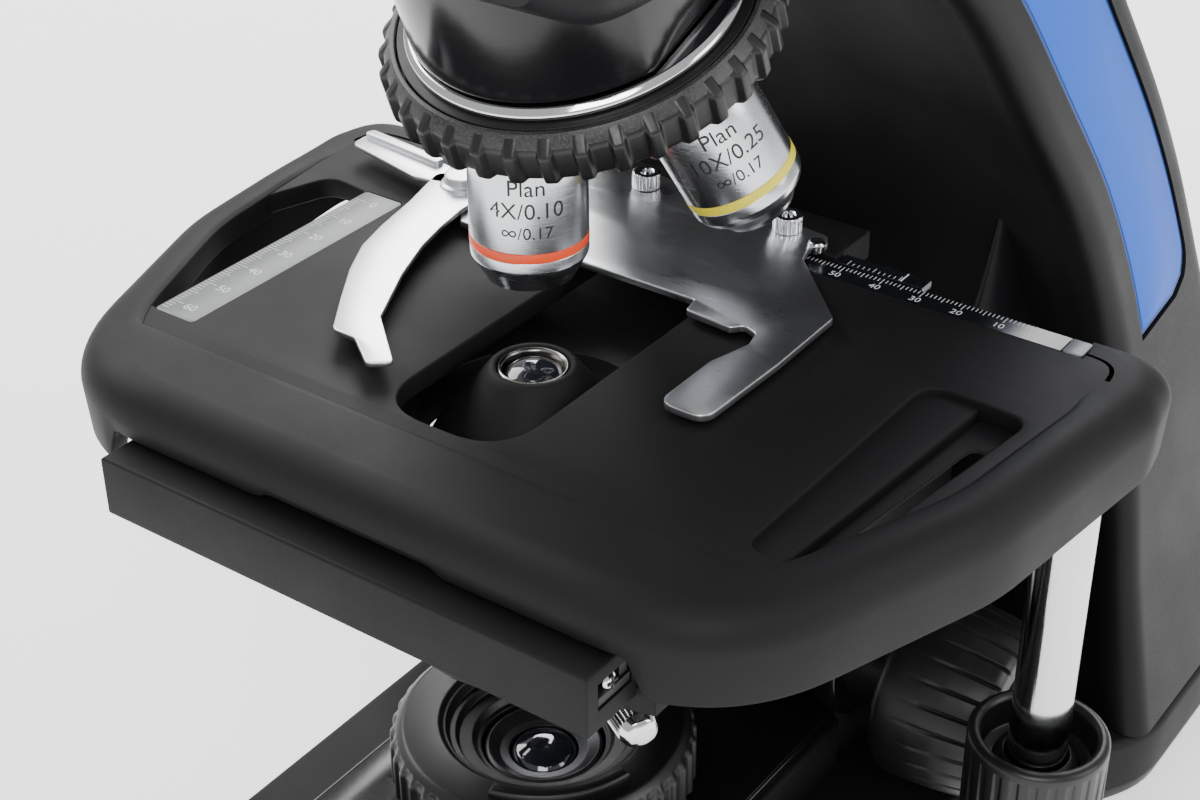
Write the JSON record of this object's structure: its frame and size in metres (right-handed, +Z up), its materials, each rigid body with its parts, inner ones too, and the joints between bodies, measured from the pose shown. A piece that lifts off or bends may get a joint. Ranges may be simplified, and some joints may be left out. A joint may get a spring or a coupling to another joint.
{
  "type": "microscope",
  "caption": "Upright binocular compound microscope with C-shaped arm, focusing mechanical stage, slide holder, condenser, tilted rotating nosepiece, field lamp and head.",
  "frame": {"origin": "centre of the footprint of the whole instrument, on the table under it", "axes": "+Z up, -Y towards the user, +X to the right of the user"},
  "size_m": [0.2298, 0.29, 0.4076],
  "materials": {
    "black_paint": "fine-textured charcoal powder coat",
    "gloss_black": "glossy black moulding",
    "matte_black": "matte black anodised or moulded",
    "grip_rubber": "black ribbed rubber",
    "blue_panel": "bright blue fine-grained inlay",
    "chrome": "polished chrome",
    "steel": "satin brushed steel",
    "dark_metal": "dark machined metal",
    "white_part": "white lamp body",
    "glass": "coated optical glass"
  },
  "bodies": {
    "stand": {"base_housing": "black_paint", "base_top_cover": "gloss_black", "bottom_plate": "dark_metal", "foot_front_left": "grip_rubber", "foot_front_right": "grip_rubber", "foot_rear_left": "grip_rubber", "foot_rear_right": "grip_rubber", "power_inlet": "matte_black", "led_lamp": "white_part", "field_tower": "matte_black", "field_lens": "glass", "arm_casting": "black_paint", "arm_panel_right": "blue_panel", "arm_panel_left": "blue_panel", "focus_housing": "black_paint", "nosepiece_mount": "gloss_black", "nosepiece_bright_ring": "chrome"},
    "rocker": {"power_switch": "matte_black"},
    "brightness": {"brightness_knob": "matte_black"},
    "field_ring": {"field_diaphragm_ring": "grip_rubber"},
    "fine_drive": {"focus_shaft": "steel", "fine_knob_right": "grip_rubber", "fine_knob_left": "grip_rubber"},
    "coarse_drive": {"coarse_knob_right": "grip_rubber", "coarse_knob_left": "grip_rubber"},
    "stage": {"stage_carriage": "dark_metal", "stage_lower_plate": "matte_black", "front_guide_bar": "black_paint", "guide_rail": "steel", "y_vernier": "steel"},
    "stage_top": {"stage_top_plate": "black_paint", "x_scale": "gloss_black", "y_scale": "steel", "drive_sleeve": "chrome"},
    "y_drive": {"y_knob": "grip_rubber"},
    "x_drive": {"x_knob": "grip_rubber"},
    "slide_holder": {"holder_carriage": "black_paint", "holder_plate": "steel", "cap_screw_left": "chrome", "cap_screw_right": "chrome"},
    "finger": {"holder_finger": "steel"},
    "condenser": {"condenser_mount": "matte_black", "condenser_body": "matte_black", "condenser_lens": "glass"},
    "condenser_drive": {"condenser_knob": "grip_rubber"},
    "iris": {"iris_lever": "steel"},
    "condenser_screw": {"condenser_clamp_screw": "chrome"},
    "nosepiece": {"nosepiece_turret": "dark_metal", "nosepiece_grip": "grip_rubber", "objective_4x": "chrome", "objective_10x": "chrome", "objective_40x": "chrome", "objective_100x": "chrome"},
    "head": {"head_body": "black_paint"},
    "head_screw": {"head_clamp_screw": "chrome"},
    "eye_right": {"eyepiece_tube_right": "black_paint", "eyepiece_right": "matte_black"},
    "eye_left": {"eyepiece_tube_left": "black_paint", "eyepiece_left": "matte_black"},
    "diopter": {"diopter_ring": "grip_rubber"}
  },
  "joints": [
    {"name": "stage_focus", "type": "slide", "parent": "stand", "child": "stage", "axis": [0, 0, 1], "range_m": [-0.02, 0.001]},
    {"name": "coarse_focus", "type": "hinge", "parent": "stand", "child": "coarse_drive", "pos_m": [0, 0.0295, 0.052], "axis": [1, 0, 0], "range_deg": [-195, 12]},
    {"name": "fine_focus", "type": "hinge", "parent": "stand", "child": "fine_drive", "pos_m": [0, 0.0295, 0.052], "axis": [1, 0, 0], "continuous": true},
    {"name": "stage_y", "type": "slide", "parent": "stage", "child": "stage_top", "axis": [0, 1, 0], "range_m": [-0.03, 0.01]},
    {"name": "y_knob_turn", "type": "hinge", "parent": "stage_top", "child": "y_drive", "pos_m": [0.102, 0.001, 0.06], "axis": [0, 0, 1], "range_deg": [-545, 185]},
    {"name": "stage_x", "type": "slide", "parent": "stage_top", "child": "slide_holder", "axis": [1, 0, 0], "range_m": [-0.045, 0.02]},
    {"name": "x_knob_turn", "type": "hinge", "parent": "stage_top", "child": "x_drive", "pos_m": [0.102, 0.001, 0.04], "axis": [0, 0, 1], "range_deg": [-650, 292]},
    {"name": "finger_swing", "type": "hinge", "parent": "slide_holder", "child": "finger", "pos_m": [-0.057, 0.003, 0.163], "axis": [0, 0, 1], "range_deg": [-26, 0], "stiffness_Nm_per_rad": 0.08, "springref_deg": 5.73},
    {"name": "condenser_focus", "type": "slide", "parent": "stage", "child": "condenser", "axis": [0, 0, 1], "range_m": [-0.009, 0]},
    {"name": "condenser_knob_turn", "type": "hinge", "parent": "condenser", "child": "condenser_drive", "pos_m": [0, -0.007, 0.1], "axis": [1, 0, 0], "range_deg": [-165, 1]},
    {"name": "iris_swing", "type": "hinge", "parent": "condenser", "child": "iris", "pos_m": [0, -0.045, 0.1255], "axis": [0, 0, 1], "range_deg": [-24, 24]},
    {"name": "condenser_screw_turn", "type": "hinge", "parent": "condenser", "child": "condenser_screw", "pos_m": [0, -0.045, 0.1], "axis": [0.866, -0.5, 0], "range_deg": [-360, 0]},
    {"name": "nosepiece_turn", "type": "hinge", "parent": "stand", "child": "nosepiece", "pos_m": [0, -0.045, 0.2755], "axis": [0, -0.3551, 0.9348], "continuous": true},
    {"name": "field_ring_turn", "type": "hinge", "parent": "stand", "child": "field_ring", "pos_m": [0, -0.045, 0.055], "axis": [0, 0, 1], "range_deg": [-80, 80]},
    {"name": "brightness_turn", "type": "hinge", "parent": "stand", "child": "brightness", "pos_m": [0.072, -0.085, 0.013], "axis": [1, 0, 0], "range_deg": [-135, 135]},
    {"name": "power_rocker", "type": "hinge", "parent": "stand", "child": "rocker", "pos_m": [0.046, 0.14, 0.0125], "axis": [1, 0, 0], "range_deg": [-7, 7]},
    {"name": "head_turn", "type": "hinge", "parent": "stand", "child": "head", "pos_m": [0, -0.045, 0.306], "axis": [0, 0, 1], "continuous": true},
    {"name": "head_screw_turn", "type": "hinge", "parent": "stand", "child": "head_screw", "pos_m": [0.038, -0.045, 0.3003], "axis": [1, 0, 0], "range_deg": [-360, 0]},
    {"name": "eye_spacing_right", "type": "hinge", "parent": "head", "child": "eye_right", "pos_m": [0, -0.067, 0.3543], "axis": [0, -0.866, 0.5], "range_deg": [0, 38]},
    {"name": "eye_spacing_left", "type": "hinge", "parent": "head", "child": "eye_left", "pos_m": [0, -0.067, 0.3543], "axis": [0, -0.866, 0.5], "range_deg": [-38, 0]},
    {"name": "diopter_turn", "type": "hinge", "parent": "eye_left", "child": "diopter", "pos_m": [-0.035, -0.067, 0.3543], "axis": [0, -0.866, 0.5], "range_deg": [-120, 120]}
  ],
  "couplings": [
    {"joint": "coarse_focus", "follows": "stage_focus", "rad_per_m": 166.66},
    {"joint": "y_knob_turn", "follows": "stage_y", "rad_per_m": 314.16},
    {"joint": "x_knob_turn", "follows": "stage_x", "rad_per_m": 251.33},
    {"joint": "condenser_knob_turn", "follows": "condenser_focus", "rad_per_m": 314.16},
    {"joint": "eye_spacing_left", "follows": "eye_spacing_right", "ratio": -1}
  ]
}
